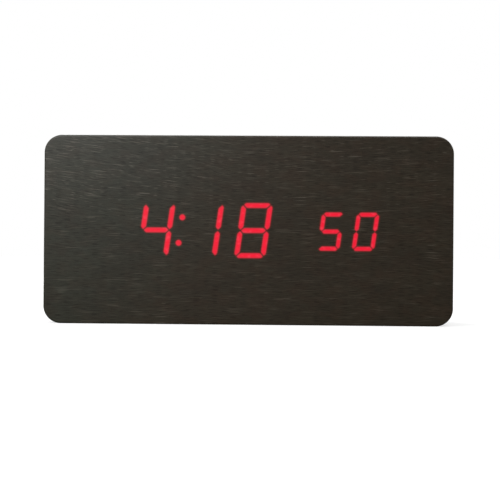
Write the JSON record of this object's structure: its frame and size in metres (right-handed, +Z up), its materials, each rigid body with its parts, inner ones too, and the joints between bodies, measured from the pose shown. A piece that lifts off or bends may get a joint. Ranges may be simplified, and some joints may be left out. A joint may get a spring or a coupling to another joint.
{
  "type": "digital alarm clock",
  "caption": "Dark wood-grain block clock whose red seven-segment time shines through its plain face, with buttons, switch, power inlet and battery door at the back.",
  "frame": {"origin": "middle of the flat base's outline, half-way between face and back", "axes": "+X to the right seen from the front, -Y out of the face, +Z up"},
  "size_m": [0.15, 0.045, 0.0693],
  "materials": {
    "dark_wood_grain": "dark brown-black grained skin, matte to satin",
    "fibreboard": "raw medium-density fibreboard",
    "cover_plastic": "black, fine spark texture",
    "button_plastic": "black, satin",
    "display_case": "dark grey potted display case",
    "lit_red": "lit red, diffusing",
    "unlit_red": "unlit diffusing resin",
    "circuit_board": "green solder mask",
    "tinned_metal": "tinned",
    "screw_steel": "zinc plated",
    "spring_nickel": "nickel plated",
    "pin_brass": "bright",
    "chip_resin": "moulded black resin",
    "can_aluminium": "drawn can",
    "coin_steel": "satin stainless",
    "socket_plastic": "ivory white moulding",
    "ribbon_grey": "grey insulation",
    "sleeve_black": "shrink sleeve",
    "resistor_ceramic": "thick film on ceramic",
    "cell_sleeve": "plain printed sleeve",
    "lead_red": "red insulation",
    "lead_black": "black insulation",
    "bead_resin": "dipped resin"
  },
  "bodies": {
    "case": {"wood_foil": "dark_wood_grain", "front_board": "fibreboard", "case_frame": "fibreboard", "rear_cover": "cover_plastic", "cover_screws": "screw_steel", "display_board": "circuit_board", "display_board_screws": "screw_steel", "clock_digits_housing": "display_case", "clock_lit_segments": "lit_red", "clock_unlit_segments": "unlit_red", "clock_digits_pins": "tinned_metal", "seconds_digits_housing": "display_case", "seconds_lit_segments": "lit_red", "seconds_unlit_segments": "unlit_red", "seconds_digits_pins": "tinned_metal", "clock_chip": "chip_resin", "clock_crystal": "can_aluminium", "backup_cell_holder": "socket_plastic", "backup_cell": "coin_steel", "segment_resistors": "resistor_ceramic", "digit_transistors": "chip_resin", "smoothing_capacitor": "sleeve_black", "display_connector": "socket_plastic", "key_board_connector": "socket_plastic", "ribbon_cable": "ribbon_grey", "key_board": "circuit_board", "key_board_screws": "screw_steel", "set_switch": "chip_resin", "up_switch": "chip_resin", "down_switch": "chip_resin", "sound_switch_body": "can_aluminium", "dc_jack": "cover_plastic", "dc_jack_pin": "pin_brass", "buzzer": "chip_resin", "microphone": "can_aluminium", "thermistor": "bead_resin", "battery_cell_1": "cell_sleeve", "battery_cell_2": "cell_sleeve", "battery_cell_3": "cell_sleeve", "positive_contact": "spring_nickel", "left_link_contact": "spring_nickel", "right_link_contact": "spring_nickel", "negative_contact": "spring_nickel", "battery_lead_red": "lead_red", "battery_lead_black": "lead_black"},
    "door": {"battery_door": "cover_plastic", "battery_door_latch": "cover_plastic"},
    "set_key": {"set_button": "button_plastic", "set_plunger": "button_plastic"},
    "up_key": {"up_button": "button_plastic", "up_plunger": "button_plastic"},
    "down_key": {"down_button": "button_plastic", "down_plunger": "button_plastic"},
    "sound_knob": {"sound_switch_knob": "button_plastic"}
  },
  "joints": [
    {"name": "set_button_press", "type": "slide", "parent": "case", "child": "set_key", "axis": [0, -1, 0], "range_m": [0, 0.0003], "stiffness_N_per_m": 4000},
    {"name": "up_button_press", "type": "slide", "parent": "case", "child": "up_key", "axis": [0, -1, 0], "range_m": [0, 0.0003], "stiffness_N_per_m": 4000},
    {"name": "down_button_press", "type": "slide", "parent": "case", "child": "down_key", "axis": [0, -1, 0], "range_m": [0, 0.0003], "stiffness_N_per_m": 4000},
    {"name": "sound_switch_slide", "type": "slide", "parent": "case", "child": "sound_knob", "axis": [1, 0, 0], "range_m": [0, 0.002]},
    {"name": "battery_door_hinge", "type": "hinge", "parent": "case", "child": "door", "pos_m": [-0.034, 0.0205, 0.01645], "axis": [-1, 0, 0], "range_deg": [0, 80], "deforming": ["battery_door_latch"]}
  ]
}
